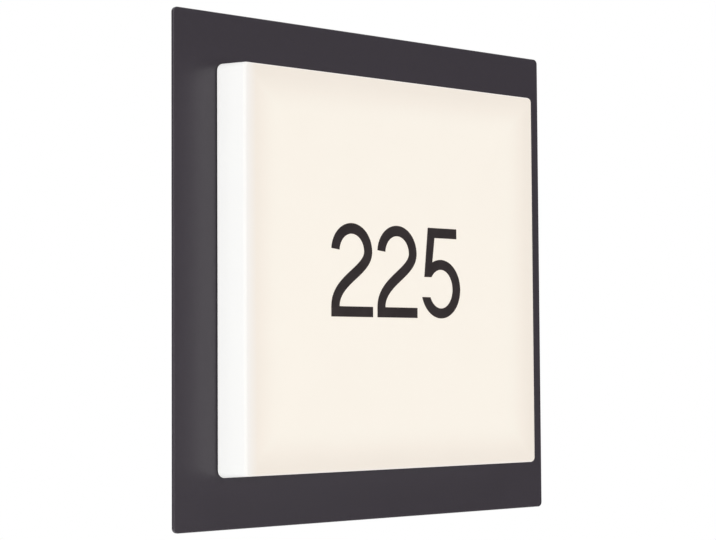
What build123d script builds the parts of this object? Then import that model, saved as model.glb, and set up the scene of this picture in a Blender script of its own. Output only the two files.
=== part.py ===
from build123d import *
import math
import os

# Illuminated house number sign, all lengths in millimetres.
# Origin: centre of the face that lies on the wall. +X right, +Z up, +Y into the wall.
# A depth is a distance in front of the wall, so a point at depth d has y = -d.

# ---------------------------------------------------------------- driving dimensions
# Face plate and the gasket behind it
plate_side = 300.0
plate_thickness = 2.5
plate_corner_radius = 3.0
plate_edge_bevel = 0.4
gasket_thickness = 2.0
gasket_inset = 12.0
gasket_corner_radius = 6.0

# Light box
box_side = 240.0
box_depth = 25.0
box_wall = 3.0
box_draft_angle = 4.0
box_corner_radius = 4.5
box_inner_corner_radius = 2.5
box_front_radius = 2.2
seal_thickness = 1.0
seal_width = 2.0
seal_setback = 0.5

# Wall screws and mains cable entry
wall_screw_spacing = 216.0
wall_screw_hole_radius = 2.75
gasket_hole_margin = 1.0
gasket_screw_hole_sides = 12
gasket_entry_hole_sides = 24
cable_entry_x = -78.0
cable_entry_z = -80.0
cable_hole_radius = 9.0
grommet_bore_radius = 4.5
grommet_flange_radius = 12.0
grommet_flange_thickness = 1.5
grommet_neck_clearance = 0.3

# Spring clips and the ribs of the light box that they hook over
clip_width = 14.0
clip_strip_thickness = 0.5
clip_foot_length = 10.0
clip_apex_height = 8.5
clip_leg_rise = 3.0
clip_lead_in_height = 4.0
clip_lead_in_set = 2.6
clip_bend_radius = 1.2
rib_height = 1.5
rib_top_width = 0.8
rib_overhang = 2.0

# Light panel
panel_side = 200.0
pillar_height = 15.0
pillar_across_flats = 8.0
pillar_inset = 6.0
pillar_thread_depth = 8.0
tray_thickness = 1.0
reflector_thickness = 0.3
guide_thickness = 3.0
film_thickness = 0.3
corner_notch = 14.0
bezel_lip_thickness = 0.8
bezel_lip_width = 6.0
bezel_skirt_thickness = 1.0
bezel_skirt_height = 3.4
bezel_boss_side = 8.4
led_board_thickness = 1.0
led_board_height = 3.2
led_board_length = 178.0
led_count = 16
led_pitch = 10.4
led_length = 3.0
led_width = 2.2
led_thickness = 0.8
led_to_guide_gap = 0.4

# LED driver
driver_length = 130.0
driver_width = 44.0
driver_height = 14.0
driver_wall = 1.6
driver_corner_radius = 3.0
driver_x = 0.0
driver_z = 40.0
driver_lid_thickness = 2.0
driver_lid_rim_height = 1.5
driver_ear_length = 9.0
driver_ear_thickness = 2.5
driver_ear_width = 14.0
driver_board_thickness = 1.6
driver_board_standoff = 2.0
driver_standoff_side = 5.0
driver_standoff_inset_x = 12.0
driver_standoff_inset_z = 8.0
driver_lead_height = 2.5
driver_connector_length = 8.0
driver_connector_width = 18.0
driver_connector_height = 5.0
transformer_length = 20.0
transformer_width = 18.0
transformer_height = 5.5
transformer_shift = -5.0
input_capacitor_radius = 5.0
input_capacitor_shift_x = -32.0
output_capacitor_radius = 4.0
output_capacitor_shift_x = 26.0
capacitor_shift_z = 6.0
capacitor_height = 5.0

# Terminal block and its release buttons
terminal_x = -78.0
terminal_z = -35.0
pole_count = 3
pole_pitch = 9.0
terminal_height = 18.0
terminal_depth = 13.0
terminal_end_wall = 1.0
terminal_ear_length = 7.0
terminal_ear_thickness = 3.0
terminal_entry_side = 2.6
terminal_entry_depth = 4.0
button_length_x = 5.0
button_length_z = 6.0
button_body_depth = 5.5
button_proud = 1.5
button_edge_round = 0.6
button_travel = 1.3
contact_length = 12.0
contact_width = 6.4
contact_height = 3.0
contact_sheet = 0.8

# Cable clamp
clamp_z = -58.0
clamp_length = 34.0
clamp_width = 10.0
clamp_height = 9.0
clamp_arch_radius = 5.5
clamp_arch_straight = 1.0
clamp_screw_spacing = 24.0
clamp_edge_round = 2.5

# Protective earth connection
earth_x = -42.0
earth_z = -30.0
earth_stud_sides = 12
earth_stud_radius = 2.0
earth_stud_height = 8.5
earth_flange_radius = 3.2
earth_flange_thickness = 0.8
earth_washer_radius = 4.5
earth_washer_thickness = 0.8
earth_ring_radius = 4.0
earth_ring_thickness = 0.8
earth_barrel_radius = 1.7
earth_barrel_length = 6.0
earth_barrel_start = 4.6
earth_nut_across_flats = 7.0
earth_nut_height = 3.2

# Leads
lead_sides = 6
mains_lead_radius = 1.0
led_lead_radius = 0.8
lead_bend_radius = 5.0
lead_tight_bend_radius = 2.0
lead_rest_gap = 0.3
led_lead_clip_width = 9.0
led_lead_clip_length = 6.0
led_lead_clip_roof = 1.2
led_lead_clip_places_z = (0.0, -65.0)

# Screws, plain: their heads and shanks have few flat sides
screw_head_sides = 12
screw_shank_sides = 8
small_screw_radius = 1.5
small_screw_head_radius = 2.8
small_screw_head_height = 1.6
screw_end_gap = 0.5
screw_hole_clearance = 0.1
head_bore_clearance = 0.4

# Running and seating gaps
spring_gap = 0.3
panel_gap = 0.3
lead_hole_gap = 0.3
button_gap = 0.3

# ---------------------------------------------------------------- depths and places that follow
plate_back = gasket_thickness
plate_front = plate_back + plate_thickness
box_rim = plate_front + seal_thickness
box_front = plate_front + box_depth
box_inner_front = box_front - box_wall
draft = math.tan(math.radians(box_draft_angle))

tray_back = plate_front + pillar_height
tray_floor = tray_back + tray_thickness
guide_back = tray_floor + reflector_thickness
guide_front = guide_back + guide_thickness
bezel_back = guide_front + film_thickness
bezel_front = bezel_back + bezel_lip_thickness
tray_inner_half = panel_side / 2 - tray_thickness
sheet_half = tray_inner_half - panel_gap
pillar_offset = panel_side / 2 - pillar_inset
led_board_face = tray_inner_half - led_board_thickness
guide_edge = led_board_face - led_thickness - led_to_guide_gap
led_depth = guide_back + guide_thickness / 2

driver_lid_back = plate_front + driver_height - driver_lid_thickness
driver_half = driver_length / 2
terminal_front = plate_front + terminal_depth
terminal_half = pole_count * pole_pitch / 2 + terminal_end_wall
earth_ring_back = plate_front + earth_flange_thickness + earth_washer_thickness


# ---------------------------------------------------------------- helpers
def layer(depth):
    """The plane parallel to the wall at a depth; sketches on it are drawn as seen from the front."""
    return Plane.XZ.offset(depth)


def slab(outline, depth, thickness):
    """An outline drawn as seen from the front, thickened forwards from a depth."""
    return extrude(layer(depth) * outline, thickness)


def at(x, z, outline):
    """An outline moved to a place on the face of the sign."""
    return Pos(x, z) * outline


def block(x, z, depth, length_x, length_z, thickness):
    """A square-edged block centred on a place of the face, standing forwards from a depth."""
    return slab(at(x, z, Rectangle(length_x, length_z)), depth, thickness)


def disc(x, z, depth, radius, thickness):
    """A round piece centred on a place of the face, standing forwards from a depth."""
    return slab(at(x, z, Circle(radius)), depth, thickness)


def hexagon(across_flats):
    """A hexagon given by its spanner size."""
    return RegularPolygon(across_flats / 2, 6, major_radius=False)


def corners(offset):
    """The four places at the corners of a square centred on the sign."""
    return [(x, z) for x in (-offset, offset) for z in (-offset, offset)]


def section_along_x(points, x_from, length):
    """A closed outline of (z, depth) points carried along X."""
    outline = Polyline(*[(x_from, -depth, z) for z, depth in points], close=True)
    return extrude(make_face(outline), length, dir=(1, 0, 0))


def screw(x, z, seat_depth, shank_length):
    """A screw seen from the front: head on its seat, shank running back from it."""
    head_outline = at(x, z, RegularPolygon(small_screw_head_radius, screw_head_sides))
    shank_outline = at(x, z, RegularPolygon(small_screw_radius, screw_shank_sides))
    head = slab(head_outline, seat_depth, small_screw_head_height)
    return head + slab(shank_outline, seat_depth - shank_length, shank_length)


def screw_hole(x, z, depth, thickness):
    """The hole that a small screw's shank goes through, with as many sides as the shank."""
    radius = small_screw_radius + screw_hole_clearance
    return slab(at(x, z, RegularPolygon(radius, screw_shank_sides)), depth, thickness)


def plate_screw(x, z, held_thickness):
    """A screw into the plate that holds something of this thickness against it, ending inside the plate."""
    return screw(x, z, plate_front + held_thickness, held_thickness + plate_thickness - screw_end_gap)


def lead(points, radius, bends):
    """An insulated lead through points given as (x, z, depth), with a radius for each corner."""
    path = FilletPolyline(*[(x, -depth, z) for x, z, depth in points], radius=bends)
    section = Plane(origin=path @ 0, z_dir=path % 0) * RegularPolygon(radius, lead_sides)
    return sweep(section, path=path)


def around(piece):
    """A piece of the bottom side, repeated on all four sides of the sign."""
    return [piece.rotate(Axis.Y, turn) for turn in (0, 90, 180, 270)]


# ---------------------------------------------------------------- plate and gasket
wall_at_clip = box_side / 2 - box_wall - draft * (clip_apex_height + plate_front - box_rim)
clip_apex = wall_at_clip - spring_gap - clip_strip_thickness / 2
clip_foot_outer = clip_apex - clip_leg_rise
clip_foot_inner = clip_foot_outer - clip_foot_length
clip_screw_place = clip_foot_inner + clip_foot_length / 2 - small_screw_radius


def make_wall_gasket():
    side = plate_side - 2 * gasket_inset
    outline = RectangleRounded(side, side, gasket_corner_radius)
    screw_hole_radius = wall_screw_hole_radius + gasket_hole_margin
    for x, z in corners(wall_screw_spacing / 2):
        outline -= at(x, z, RegularPolygon(screw_hole_radius, gasket_screw_hole_sides))
    entry_radius = grommet_flange_radius + gasket_hole_margin
    outline -= at(cable_entry_x, cable_entry_z, RegularPolygon(entry_radius, gasket_entry_hole_sides))
    return slab(outline, 0, gasket_thickness)


def plate_screw_places():
    """Where small screws go into threads in the plate."""
    ends = (clip_screw_place, -clip_screw_place)
    places = [(0, end) for end in ends]
    places += [(end, 0) for end in ends]
    places += driver_screw_places()
    places += terminal_screw_places()
    places += clamp_screw_places()
    return places


def make_back_plate():
    outline = RectangleRounded(plate_side, plate_side, plate_corner_radius)
    plate = slab(outline, plate_back, plate_thickness)
    faces = plate.faces().sort_by(Axis.Y)
    rims = faces[0].edges() + faces[-1].edges()
    plate = chamfer(rims, plate_edge_bevel)
    for x, z in corners(wall_screw_spacing / 2):
        plate -= disc(x, z, plate_back, wall_screw_hole_radius, plate_thickness)
    for x, z in plate_screw_places():
        plate -= screw_hole(x, z, plate_back, plate_thickness)
    plate -= disc(cable_entry_x, cable_entry_z, plate_back, cable_hole_radius, plate_thickness)
    return plate


def make_cable_grommet():
    """A rubber grommet with a flange on each side of the plate and a through bore."""
    neck = cable_hole_radius - grommet_neck_clearance
    x, z = cable_entry_x, cable_entry_z
    back_start = plate_back - grommet_flange_thickness
    body = disc(x, z, back_start, grommet_flange_radius, grommet_flange_thickness)
    body += disc(x, z, plate_back, neck, plate_thickness)
    body += disc(x, z, plate_front, grommet_flange_radius, grommet_flange_thickness)
    length = plate_thickness + 2 * grommet_flange_thickness
    return body - disc(x, z, back_start, grommet_bore_radius, length)


# ---------------------------------------------------------------- light box, seal and clips
def drafted_box(inset, corner_radius, front):
    """The rounded square of the light box, moved inwards by an inset, from its rim to a front depth."""
    side = box_side - 2 * inset
    outline = layer(box_rim) * RectangleRounded(side, side, corner_radius)
    return extrude(outline, front - box_rim, taper=box_draft_angle)


def make_catch_rib():
    """The ridge along the bottom wall, with its front slope parallel to the spring's leg."""
    wall = wall_at_clip
    peak = wall - rib_height
    gap_along = (clip_strip_thickness / 2 + spring_gap) * math.sqrt(2)
    apex_depth = plate_front + clip_apex_height
    front_offset = clip_apex - apex_depth + gap_along
    peak_depth = peak - front_offset
    foot_depth = wall + box_wall / 2 - front_offset
    into_wall = wall + box_wall / 2
    rear_depth = peak_depth - rib_top_width - rib_height
    rear_wall = box_side / 2 - box_wall - draft * (rear_depth - box_rim)
    points = [
        (-into_wall, foot_depth),
        (-peak, peak_depth),
        (-peak, peak_depth - rib_top_width),
        (-rear_wall, rear_depth),
        (-into_wall, rear_depth),
    ]
    length = clip_width + 2 * rib_overhang
    return section_along_x(points, -length / 2, length)


def make_diffuser():
    outside = drafted_box(0, box_corner_radius, box_front)
    front_edges = outside.faces().sort_by(Axis.Y)[0].edges()
    outside = fillet(front_edges, box_front_radius)
    shell = outside - drafted_box(box_wall, box_inner_corner_radius, box_inner_front)
    for rib in around(make_catch_rib()):
        shell += rib
    return shell


def make_diffuser_seal():
    outer = box_side - 2 * seal_setback
    inner = outer - 2 * seal_width
    ring = RectangleRounded(outer, outer, box_corner_radius - seal_setback)
    ring -= RectangleRounded(inner, inner, box_corner_radius - seal_setback - seal_width)
    return slab(ring, plate_front, seal_thickness)


def make_spring_clip():
    """One clip of bent strip at the bottom side: foot, leg, bulge and lead-in."""
    foot_depth = plate_front + clip_strip_thickness / 2
    apex_depth = plate_front + clip_apex_height
    line = FilletPolyline(
        (0, -foot_depth, -clip_foot_inner),
        (0, -foot_depth, -clip_foot_outer),
        (0, -(apex_depth - clip_leg_rise), -clip_foot_outer),
        (0, -apex_depth, -clip_apex),
        (0, -(apex_depth + clip_lead_in_height), -(clip_apex - clip_lead_in_set)),
        radius=clip_bend_radius,
    )
    section = Plane(origin=line @ 0, x_dir=(1, 0, 0), z_dir=line % 0)
    clip = sweep(section * Rectangle(clip_width, clip_strip_thickness), path=line)
    return clip - screw_hole(0, -clip_screw_place, plate_front, clip_strip_thickness)


# ---------------------------------------------------------------- light panel
def notched_square(half_x, half_z):
    """A rectangle with a square notch in each corner, which leaves room for the bezel's bosses."""
    outline = Rectangle(2 * half_x, 2 * half_z)
    notch_half = tray_inner_half
    for x, z in corners(notch_half - corner_notch / 2):
        outline -= at(x, z, Rectangle(corner_notch, corner_notch))
    return outline


def make_pillar(x, z):
    pillar = slab(at(x, z, hexagon(pillar_across_flats)), plate_front, pillar_height)
    return pillar - screw_hole(x, z, tray_back - pillar_thread_depth, pillar_thread_depth)


def lead_hole_place():
    """Where both LED leads come through the tray, beside the end of the LED board."""
    x = tray_inner_half - corner_notch + lead_hole_half_width
    return x, -(led_board_face - lead_tight_bend_radius - led_lead_radius - lead_hole_gap)


lead_hole_half_width = 2 * led_lead_radius + 1.5 * lead_hole_gap
lead_hole_x, lead_hole_z = lead_hole_place()


def make_panel_tray():
    wall_height = bezel_back - tray_back
    tray = block(0, 0, tray_back, panel_side, panel_side, wall_height)
    hollow = 2 * tray_inner_half
    tray -= block(0, 0, tray_floor, hollow, hollow, wall_height)
    for x, z in corners(pillar_offset):
        tray -= screw_hole(x, z, tray_back, tray_thickness)
    lead_hole_height = 2 * (led_lead_radius + lead_hole_gap)
    slot = at(lead_hole_x, lead_hole_z, Rectangle(2 * lead_hole_half_width, lead_hole_height))
    return tray - slab(slot, tray_back, tray_thickness)


def make_reflector_sheet():
    return slab(notched_square(sheet_half, guide_edge), tray_floor, reflector_thickness)


def make_light_guide():
    return slab(notched_square(sheet_half, guide_edge), guide_back, guide_thickness)


def make_diffusing_film():
    return slab(notched_square(sheet_half, guide_edge), guide_front, film_thickness)


def make_led_board():
    return block(
        0,
        -(led_board_face + led_board_thickness / 2),
        tray_floor,
        led_board_length,
        led_board_thickness,
        led_board_height,
    )


def make_leds():
    """The row of LEDs on the board, each facing the edge of the light guide."""
    first = -(led_count - 1) * led_pitch / 2
    z = -(led_board_face - led_thickness / 2)
    depth = led_depth - led_width / 2
    places = [first + i * led_pitch for i in range(led_count)]
    return [block(x, z, depth, led_length, led_thickness, led_width) for x in places]


def make_panel_bezel():
    """A moulded frame: front lip, skirt round the tray and a boss for the screw in each corner."""
    outer = panel_side + 2 * (panel_gap + bezel_skirt_thickness)
    skirt_inner = panel_side + 2 * panel_gap
    window = 2 * tray_inner_half - 2 * bezel_lip_width
    bezel = block(0, 0, bezel_back, outer, outer, bezel_lip_thickness)
    bezel -= block(0, 0, bezel_back, window, window, bezel_lip_thickness)
    skirt_back = bezel_back - bezel_skirt_height
    skirt = block(0, 0, skirt_back, outer, outer, bezel_skirt_height)
    skirt -= block(0, 0, skirt_back, skirt_inner, skirt_inner, bezel_skirt_height)
    bezel += skirt
    head_bore = RegularPolygon(small_screw_head_radius + head_bore_clearance, screw_head_sides)
    for x, z in corners(pillar_offset):
        bezel += block(x, z, tray_floor, bezel_boss_side, bezel_boss_side, bezel_front - tray_floor)
        bezel -= screw_hole(x, z, tray_floor, bezel_front - tray_floor)
        bezel -= slab(at(x, z, head_bore), panel_screw_seat, bezel_front - panel_screw_seat)
    return bezel


panel_screw_seat = bezel_front - small_screw_head_height - panel_gap
panel_screw_length = panel_screw_seat - tray_back + pillar_thread_depth - screw_end_gap


# ---------------------------------------------------------------- LED driver
def driver_screw_places():
    reach = driver_half + driver_ear_length / 2
    return [(driver_x - reach, driver_z), (driver_x + reach, driver_z)]


def driver_lead_places():
    """Heights of the two lead holes in each end wall."""
    return (driver_z - driver_connector_width / 4, driver_z + driver_connector_width / 4)


driver_board_back = plate_front + driver_wall + driver_board_standoff
driver_board_front = driver_board_back + driver_board_thickness
driver_lead_depth = driver_board_front + driver_lead_height


def driver_outline():
    """The rounded outline of the driver's case."""
    return at(driver_x, driver_z, RectangleRounded(driver_length, driver_width, driver_corner_radius))


def driver_inside(inset):
    """The square-cornered outline inside the case, at an inset from its outside."""
    return at(driver_x, driver_z, Rectangle(driver_length - 2 * inset, driver_width - 2 * inset))


def make_driver_base():
    """An open tray with a screw ear at each end and two lead holes in each end wall."""
    base_height = driver_lid_back - plate_front
    base = slab(driver_outline(), plate_front, base_height)
    base -= slab(driver_inside(driver_wall), plate_front + driver_wall, base_height)
    for x, z in driver_screw_places():
        base += block(x, z, plate_front, driver_ear_length, driver_ear_width, driver_ear_thickness)
        base -= screw_hole(x, z, plate_front, driver_ear_thickness)
    hole_side = 2 * (mains_lead_radius + lead_hole_gap)
    hole_back = driver_lead_depth - hole_side / 2
    for side in (-1, 1):
        wall_x = driver_x + side * (driver_half - driver_wall / 2)
        for z in driver_lead_places():
            base -= block(wall_x, z, hole_back, driver_wall, hole_side, hole_side)
    for x, z in driver_standoff_places():
        side = driver_standoff_side
        base += block(x, z, plate_front + driver_wall, side, side, driver_board_standoff)
    return base


def driver_standoff_places():
    reach_x = driver_half - driver_standoff_inset_x
    reach_z = driver_width / 2 - driver_standoff_inset_z
    return [(driver_x + i * reach_x, driver_z + j * reach_z) for i in (-1, 1) for j in (-1, 1)]


def make_driver_lid():
    """A flat lid with a rim that drops inside the walls of the base."""
    lid = slab(driver_outline(), driver_lid_back, driver_lid_thickness)
    rim_outer = driver_wall + panel_gap
    rim_back = driver_lid_back - driver_lid_rim_height
    rim = slab(driver_inside(rim_outer), rim_back, driver_lid_rim_height)
    rim -= slab(driver_inside(rim_outer + driver_lid_thickness), rim_back, driver_lid_rim_height)
    return lid + rim


def make_driver_board():
    return slab(driver_inside(driver_wall + panel_gap), driver_board_back, driver_board_thickness)


def make_driver_components():
    """Transformer, two capacitors and the lead connector at each end of the board."""
    transformer = block(
        driver_x + transformer_shift,
        driver_z,
        driver_board_front,
        transformer_length,
        transformer_width,
        transformer_height,
    )
    input_x = driver_x + input_capacitor_shift_x
    input_z = driver_z + capacitor_shift_z
    input_capacitor = disc(input_x, input_z, driver_board_front, input_capacitor_radius, capacitor_height)
    output_x = driver_x + output_capacitor_shift_x
    output_z = driver_z - capacitor_shift_z
    output_capacitor = disc(output_x, output_z, driver_board_front, output_capacitor_radius, capacitor_height)
    reach = driver_half - driver_wall - driver_connector_length / 2
    connectors = [
        block(
            driver_x + side * reach,
            driver_z,
            driver_board_front,
            driver_connector_length,
            driver_connector_width,
            driver_connector_height,
        )
        for side in (-1, 1)
    ]
    return [transformer, input_capacitor, output_capacitor] + connectors


# ---------------------------------------------------------------- terminal block
def pole_places():
    """X of the poles from left to right: live, neutral, earth."""
    first = terminal_x - (pole_count - 1) * pole_pitch / 2
    return [first + i * pole_pitch for i in range(pole_count)]


def terminal_screw_places():
    reach = terminal_half + terminal_ear_length / 2
    return [(terminal_x - reach, terminal_z), (terminal_x + reach, terminal_z)]


terminal_lead_depth = plate_front + contact_height + 2 * contact_sheet + terminal_entry_side / 2
button_pocket_depth = button_body_depth + button_travel + button_gap


def make_terminal_block():
    """The housing: button pockets in front, contact cavities behind, lead entries above and below."""
    body = block(terminal_x, terminal_z, plate_front, 2 * terminal_half, terminal_height, terminal_depth)
    for x, z in terminal_screw_places():
        body += block(x, z, plate_front, terminal_ear_length, terminal_height, terminal_ear_thickness)
        body -= screw_hole(x, z, plate_front, terminal_ear_thickness)
    cavity_x = contact_width + 2 * button_gap
    cavity_z = contact_length + 2 * button_gap
    pocket_x = button_length_x + 2 * button_gap
    pocket_z = button_length_z + 2 * button_gap
    pocket_back = terminal_front - button_pocket_depth
    for x in pole_places():
        body -= block(x, terminal_z, plate_front, cavity_x, cavity_z, contact_height + button_gap)
        body -= block(x, terminal_z, pocket_back, pocket_x, pocket_z, button_pocket_depth)
        for side in (-1, 1):
            end = terminal_z + side * (terminal_height - terminal_entry_depth) / 2
            entry_back = terminal_lead_depth - terminal_entry_side / 2
            body -= block(x, end, entry_back, terminal_entry_side, terminal_entry_depth, terminal_entry_side)
    return body


def make_terminal_contact(x):
    """A channel of bent sheet that stands on the plate inside the housing, open towards the wall."""
    contact = block(x, terminal_z, plate_front, contact_width, contact_length, contact_height)
    inner = contact_width - 2 * contact_sheet
    return contact - block(x, terminal_z, plate_front, inner, contact_length, contact_height - contact_sheet)


def make_release_button(x):
    back = terminal_front - button_body_depth
    button = block(x, terminal_z, back, button_length_x, button_length_z, button_body_depth + button_proud)
    front_edges = button.faces().sort_by(Axis.Y)[0].edges()
    return fillet(front_edges, button_edge_round)


# ---------------------------------------------------------------- cable clamp
def clamp_screw_places():
    half = clamp_screw_spacing / 2
    return [(cable_entry_x - half, clamp_z), (cable_entry_x + half, clamp_z)]


def make_cable_clamp():
    """A bridge on two feet, with a round-topped arch for the cable between them."""
    clamp = block(cable_entry_x, clamp_z, plate_front, clamp_length, clamp_width, clamp_height)
    clamp = fillet(clamp.edges().filter_by(Axis.Z).sort_by(Axis.Y)[0:2], clamp_edge_round)
    arch = block(cable_entry_x, clamp_z, plate_front, 2 * clamp_arch_radius, clamp_width, clamp_arch_straight)
    arch_depth = plate_front + clamp_arch_straight
    arch += Pos(cable_entry_x, -arch_depth, clamp_z) * Cylinder(clamp_arch_radius, clamp_width)
    clamp -= arch
    for x, z in clamp_screw_places():
        clamp -= screw_hole(x, z, plate_front, clamp_height)
    return clamp


# ---------------------------------------------------------------- protective earth
def earth_shank(radius, depth, thickness):
    """The plain stand-in for the thread of the earth stud, or for a hole that goes over it."""
    return slab(at(earth_x, earth_z, RegularPolygon(radius, earth_stud_sides)), depth, thickness)


earth_hole_radius = earth_stud_radius + screw_hole_clearance


def make_earth_stud():
    stud = earth_shank(earth_stud_radius, plate_front, earth_stud_height)
    return stud + disc(earth_x, earth_z, plate_front, earth_flange_radius, earth_flange_thickness)


def make_earth_washer():
    depth = plate_front + earth_flange_thickness
    washer = disc(earth_x, earth_z, depth, earth_washer_radius, earth_washer_thickness)
    return washer - earth_shank(earth_hole_radius, depth, earth_washer_thickness)


def make_earth_ring_terminal():
    """A flat ring with a tongue and a round crimp barrel that takes the end of the earth lead."""
    ring = disc(earth_x, earth_z, earth_ring_back, earth_ring_radius, earth_ring_thickness)
    tongue_length = earth_barrel_start + earth_barrel_length / 2
    ring += block(
        earth_x,
        earth_z + tongue_length / 2,
        earth_ring_back,
        2 * earth_barrel_radius,
        tongue_length,
        earth_ring_thickness,
    )
    barrel_z = earth_z + earth_barrel_start + earth_barrel_length / 2
    ring += Pos(earth_x, -earth_barrel_depth, barrel_z) * Cylinder(earth_barrel_radius, earth_barrel_length)
    return ring - earth_shank(earth_hole_radius, earth_ring_back, earth_ring_thickness)


earth_barrel_depth = earth_ring_back + earth_barrel_radius


def make_earth_nut():
    depth = earth_ring_back + earth_ring_thickness
    nut = slab(at(earth_x, earth_z, hexagon(earth_nut_across_flats)), depth, earth_nut_height)
    return nut - earth_shank(earth_hole_radius, depth, earth_nut_height)


# ---------------------------------------------------------------- leads
terminal_lead_end = terminal_z + terminal_height / 2 - terminal_entry_depth
driver_input_x = driver_x - driver_half + driver_wall
driver_output_x = driver_x + driver_half - driver_wall
led_lead_run_depth = plate_front + led_lead_radius + lead_rest_gap
led_lead_shift = led_lead_radius + lead_hole_gap / 2
mid_run_z = (terminal_z + terminal_height / 2 + driver_z - driver_width / 2) / 2


def make_mains_lead(pole_x, driver_lead_z):
    """A lead up from a pole and then right, into the input end of the driver."""
    points = [
        (pole_x, terminal_lead_end, terminal_lead_depth),
        (pole_x, mid_run_z, terminal_lead_depth),
        (pole_x, driver_lead_z, driver_lead_depth),
        (driver_input_x, driver_lead_z, driver_lead_depth),
    ]
    return lead(points, mains_lead_radius, [lead_bend_radius] * 2)


def make_earth_lead(pole_x):
    """A lead up from the earth pole, across and down into the barrel of the ring terminal."""
    barrel_end = earth_z + earth_barrel_start + earth_barrel_length
    points = [
        (pole_x, terminal_lead_end, terminal_lead_depth),
        (pole_x, mid_run_z, terminal_lead_depth),
        (earth_x, mid_run_z, earth_barrel_depth),
        (earth_x, barrel_end, earth_barrel_depth),
    ]
    return lead(points, mains_lead_radius, [lead_bend_radius] * 2)


def make_led_lead(driver_lead_z, hole_shift):
    """A lead from the output end of the driver, down beside it, through the tray to the LED board."""
    x = lead_hole_x + hole_shift
    run_start_z = driver_z - driver_width / 2
    points = [
        (driver_output_x, driver_lead_z, driver_lead_depth),
        (x, driver_lead_z, driver_lead_depth),
        (x, run_start_z, led_lead_run_depth),
        (x, lead_hole_z, led_lead_run_depth),
        (x, lead_hole_z, led_depth),
        (x, -led_board_face, led_depth),
    ]
    bends = [lead_bend_radius, lead_bend_radius, lead_bend_radius, lead_tight_bend_radius]
    return lead(points, led_lead_radius, bends)


def make_led_lead_clip(z):
    """A saddle stuck to the plate, with one channel that both LED leads run through."""
    channel_half = led_lead_shift + led_lead_radius + lead_rest_gap
    channel_height = led_lead_run_depth + led_lead_radius + lead_rest_gap - plate_front
    height = channel_height + led_lead_clip_roof
    clip = block(lead_hole_x, z, plate_front, led_lead_clip_width, led_lead_clip_length, height)
    return clip - block(lead_hole_x, z, plate_front, 2 * channel_half, led_lead_clip_length, channel_height)


# ---------------------------------------------------------------- all nodes
def make_all():
    live_x, neutral_x, earth_pole_x = pole_places()
    lower_lead_z, upper_lead_z = driver_lead_places()
    clip_screws = around(plate_screw(0, -clip_screw_place, clip_strip_thickness))
    panel_screws = [screw(x, z, panel_screw_seat, panel_screw_length) for x, z in corners(pillar_offset)]
    driver_screws = [plate_screw(x, z, driver_ear_thickness) for x, z in driver_screw_places()]
    terminal_screws = [plate_screw(x, z, terminal_ear_thickness) for x, z in terminal_screw_places()]
    clamp_screws = [plate_screw(x, z, clamp_height) for x, z in clamp_screw_places()]
    return {
        "wall_gasket": [make_wall_gasket()],
        "back_plate": [make_back_plate()],
        "cable_grommet": [make_cable_grommet()],
        "diffuser": [make_diffuser()],
        "diffuser_seal": [make_diffuser_seal()],
        "spring_clips": around(make_spring_clip()),
        "clip_screws": clip_screws,
        "panel_pillars": [make_pillar(x, z) for x, z in corners(pillar_offset)],
        "panel_tray": [make_panel_tray()],
        "reflector_sheet": [make_reflector_sheet()],
        "light_guide": [make_light_guide()],
        "diffusing_film": [make_diffusing_film()],
        "led_board": [make_led_board()],
        "leds": make_leds(),
        "panel_bezel": [make_panel_bezel()],
        "panel_screws": panel_screws,
        "driver_base": [make_driver_base()],
        "driver_lid": [make_driver_lid()],
        "driver_board": [make_driver_board()],
        "driver_components": make_driver_components(),
        "driver_screws": driver_screws,
        "terminal_block": [make_terminal_block()],
        "terminal_contacts": [make_terminal_contact(x) for x in pole_places()],
        "live_release_button": [make_release_button(live_x)],
        "neutral_release_button": [make_release_button(neutral_x)],
        "earth_release_button": [make_release_button(earth_pole_x)],
        "terminal_screws": terminal_screws,
        "cable_clamp": [make_cable_clamp()],
        "clamp_screws": clamp_screws,
        "earth_stud": [make_earth_stud()],
        "earth_washer": [make_earth_washer()],
        "earth_ring_terminal": [make_earth_ring_terminal()],
        "earth_nut": [make_earth_nut()],
        "live_lead": [make_mains_lead(live_x, upper_lead_z)],
        "neutral_lead": [make_mains_lead(neutral_x, lower_lead_z)],
        "earth_lead": [make_earth_lead(earth_pole_x)],
        "led_lead_positive": [make_led_lead(upper_lead_z, led_lead_shift)],
        "led_lead_negative": [make_led_lead(lower_lead_z, -led_lead_shift)],
        "led_lead_clips": [make_led_lead_clip(z) for z in led_lead_clip_places_z],
    }


os.makedirs("parts", exist_ok=True)
for name, solids in make_all().items():
    shape = solids[0] if len(solids) == 1 else Compound(children=solids)
    export_step(shape, f"parts/{name}.step")
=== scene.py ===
# %% [markdown]
# # A lit house number sign
#
# The sign is a square sheet-steel plate that is screwed to the wall, with a slim opal box in front of it
# that glows over its whole face. The house number is cut from dark adhesive film and stuck on the box.
# Inside the box a driver feeds a row of LEDs, and the LEDs shine into the edge of a clear sheet that
# spreads their light.
#
# The engineering model gives every part in its place. This script loads it, gives each part its finish,
# and replaces those parts that need finer shapes: the opal box, the screws, the leads and the rubber
# grommet.

import math

import bmesh
import bpy
import numpy as np
from mathutils import Matrix, Vector


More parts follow.
